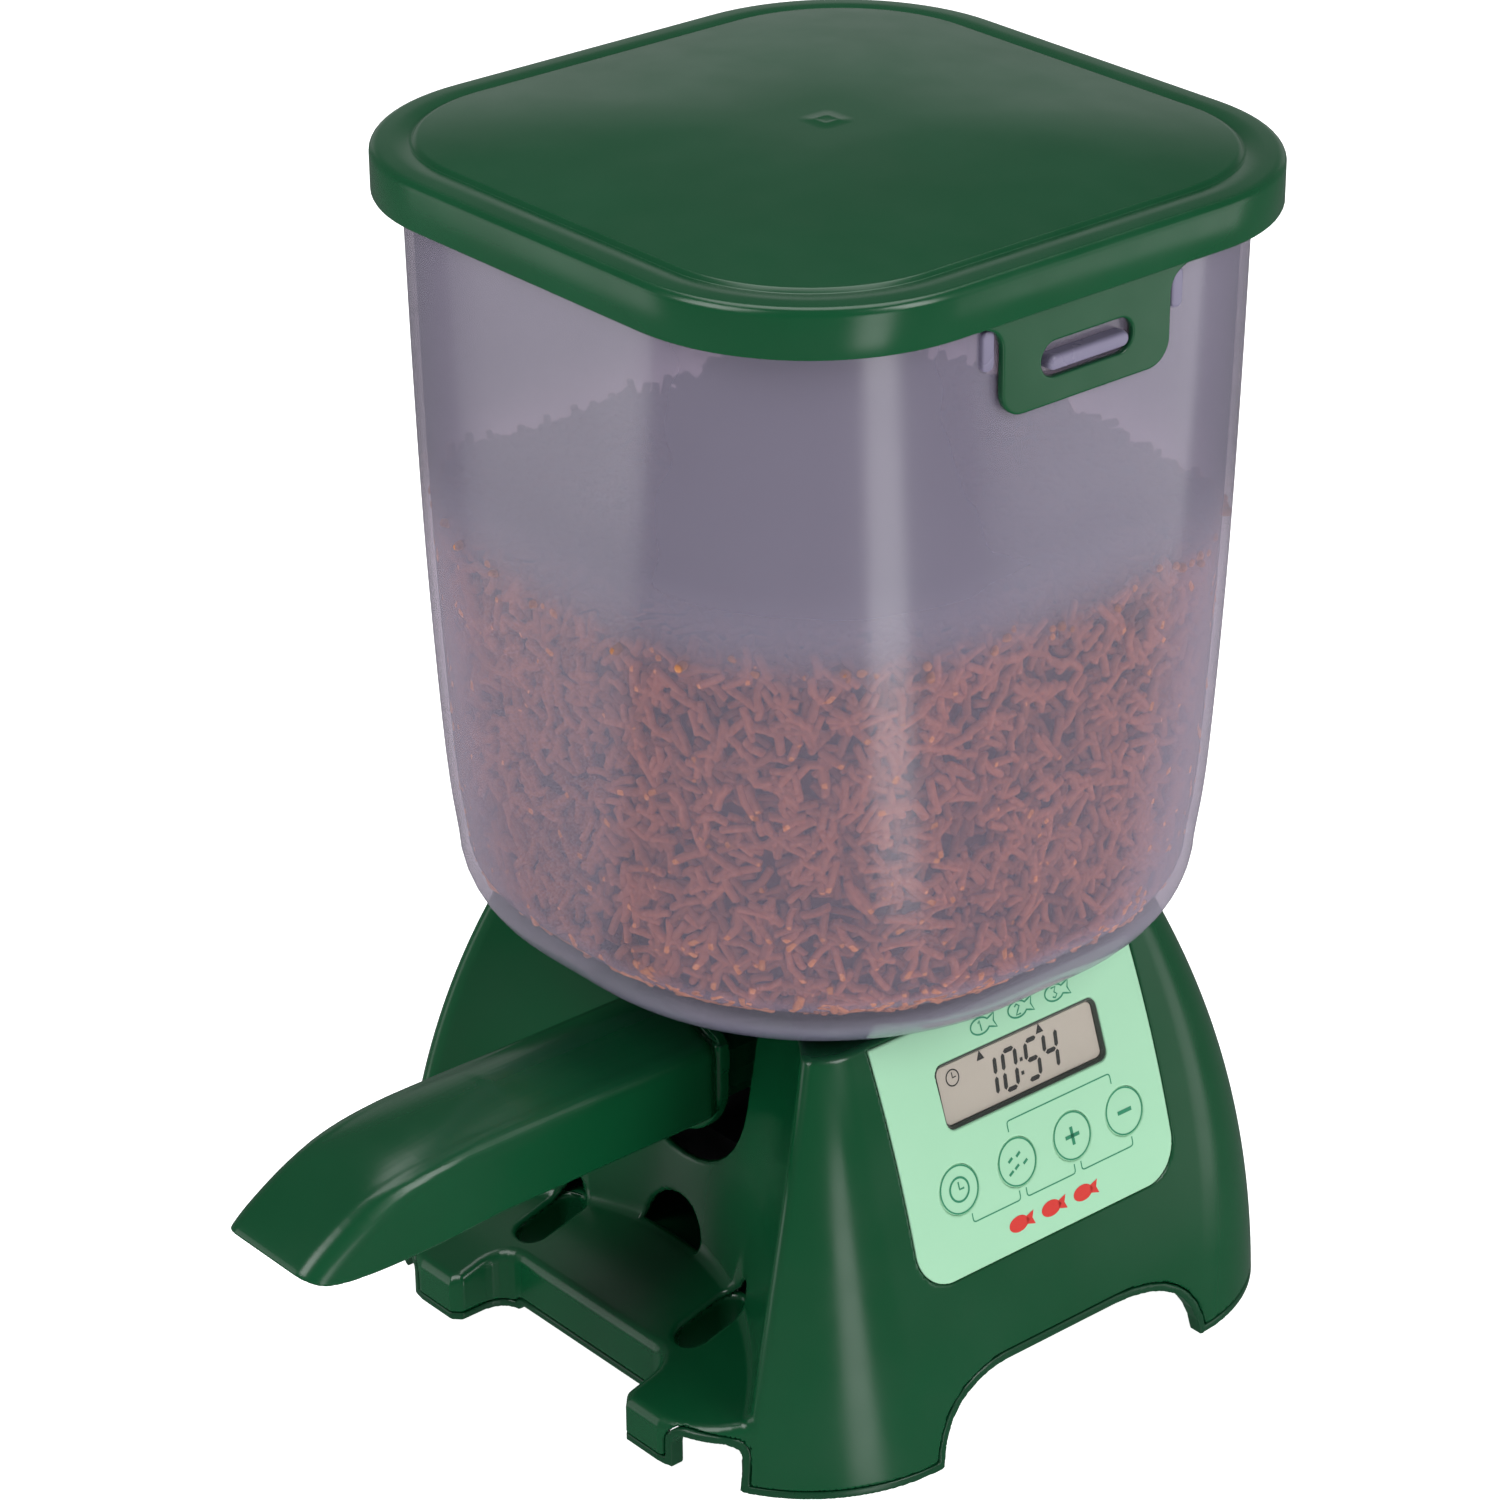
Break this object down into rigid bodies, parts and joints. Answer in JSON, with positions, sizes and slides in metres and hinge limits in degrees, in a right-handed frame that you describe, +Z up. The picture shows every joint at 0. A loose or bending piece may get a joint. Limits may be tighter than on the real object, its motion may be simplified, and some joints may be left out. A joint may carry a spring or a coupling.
{
  "type": "automatic fish feeder",
  "caption": "Battery fish feeder: square translucent hopper with latched lid on a flared base, keypad panel, screw feed and long hooded spout.",
  "frame": {"origin": "on the floor, under the middle of the whole outline", "axes": "+Z up, +X towards the control panel, -Y towards the spout's tip"},
  "size_m": [0.2304, 0.3332, 0.3881],
  "materials": {
    "green_plastic": "glossy moulded plastic",
    "dark_green_plastic": "satin moulded plastic",
    "smoky_plastic": "translucent smoky violet plastic",
    "feed": "dry pressed feed pellets",
    "label": "printed mint panel film",
    "lens": "clear display window",
    "crystal": "liquid crystal display",
    "nylon": "natural nylon",
    "black_plastic": "black moulded plastic",
    "steel": "plated steel",
    "board": "green circuit board",
    "cell": "wrapped dry cell"
  },
  "bodies": {
    "base": {"base_housing": "green_plastic", "lower_cover": "green_plastic", "feed_tube": "dark_green_plastic", "shaft_bush": "nylon", "gear_pin_1": "steel", "gear_pin_2": "steel", "gearbox_case": "black_plastic", "gearbox_cover": "black_plastic", "gearbox_screw_1": "steel", "gearbox_screw_2": "steel", "motor": "steel", "battery_box": "black_plastic", "panel_label": "label", "display_window": "lens", "display": "crystal", "circuit_board": "board", "cover_screw_1": "steel", "cover_screw_2": "steel", "cover_screw_3": "steel", "cover_screw_4": "steel", "battery_cell_1": "cell", "battery_cell_2": "cell", "battery_cell_3": "cell", "battery_cell_4": "cell", "battery_contact_1": "steel", "battery_contact_2": "steel", "battery_contact_3": "steel", "battery_contact_4": "steel", "key_switch_1": "black_plastic", "key_switch_2": "black_plastic", "key_switch_3": "black_plastic", "key_switch_4": "black_plastic"},
    "hopper": {"hopper": "smoky_plastic", "feed_pellets": "feed"},
    "lid": {"lid": "green_plastic"},
    "latch_right": {"latch_right": "green_plastic"},
    "latch_left": {"latch_left": "green_plastic"},
    "spout": {"spout": "green_plastic"},
    "auger": {"auger_screw": "nylon", "output_gear": "nylon"},
    "gear_2": {"compound_gear_2": "nylon"},
    "gear_1": {"compound_gear_1": "nylon"},
    "pinion": {"motor_pinion": "steel"},
    "battery_door": {"battery_door": "dark_green_plastic"},
    "button_time": {"button_time": "label"},
    "button_feed": {"button_feed": "label"},
    "button_plus": {"button_plus": "label"},
    "button_minus": {"button_minus": "label"}
  },
  "joints": [
    {"name": "hopper_lift", "type": "slide", "parent": "base", "child": "hopper", "axis": [0, 0, 1], "range_m": [0, 0.1]},
    {"name": "lid_lift", "type": "slide", "parent": "hopper", "child": "lid", "axis": [0, 0, 1], "range_m": [0, 0.015]},
    {"name": "latch_right_open", "type": "hinge", "parent": "lid", "child": "latch_right", "pos_m": [0.1091, 0.0514, 0.3653], "axis": [0, -1, 0], "range_deg": [0, 90]},
    {"name": "latch_left_open", "type": "hinge", "parent": "lid", "child": "latch_left", "pos_m": [-0.1091, 0.0514, 0.3653], "axis": [0, 1, 0], "range_deg": [0, 90]},
    {"name": "spout_pull", "type": "slide", "parent": "base", "child": "spout", "axis": [0, -1, 0], "range_m": [0, 0.06]},
    {"name": "auger_spin", "type": "hinge", "parent": "base", "child": "auger", "pos_m": [0, 0.0914, 0.097], "axis": [0, 1, 0], "continuous": true},
    {"name": "gear_2_spin", "type": "hinge", "parent": "base", "child": "gear_2", "pos_m": [-0.01401, 0.0964, 0.07952], "axis": [0, 1, 0], "continuous": true},
    {"name": "gear_1_spin", "type": "hinge", "parent": "base", "child": "gear_1", "pos_m": [-0.01901, 0.0934, 0.06098], "axis": [0, 1, 0], "continuous": true},
    {"name": "pinion_spin", "type": "hinge", "parent": "base", "child": "pinion", "pos_m": [-0.03305, 0.0894, 0.07408], "axis": [0, 1, 0], "continuous": true},
    {"name": "battery_door_slide", "type": "slide", "parent": "base", "child": "battery_door", "axis": [0, 1, 0], "range_m": [0, 0.055]},
    {"name": "button_time_press", "type": "slide", "parent": "base", "child": "button_time", "axis": [-0.9438, 0, -0.3305], "range_m": [0, 0.0006], "stiffness_N_per_m": 900},
    {"name": "button_feed_press", "type": "slide", "parent": "base", "child": "button_feed", "axis": [-0.9438, 0, -0.3305], "range_m": [0, 0.0006], "stiffness_N_per_m": 900},
    {"name": "button_plus_press", "type": "slide", "parent": "base", "child": "button_plus", "axis": [-0.9438, 0, -0.3305], "range_m": [0, 0.0006], "stiffness_N_per_m": 900},
    {"name": "button_minus_press", "type": "slide", "parent": "base", "child": "button_minus", "axis": [-0.9438, 0, -0.3305], "range_m": [0, 0.0006], "stiffness_N_per_m": 900}
  ],
  "couplings": [
    {"joint": "latch_right_open", "follows": "lid_lift", "rad_per_m": 104.71},
    {"joint": "latch_left_open", "follows": "lid_lift", "rad_per_m": 104.71},
    {"joint": "gear_2_spin", "follows": "auger_spin", "ratio": -3.6667},
    {"joint": "gear_1_spin", "follows": "auger_spin", "ratio": 11},
    {"joint": "pinion_spin", "follows": "auger_spin", "ratio": -33}
  ]
}
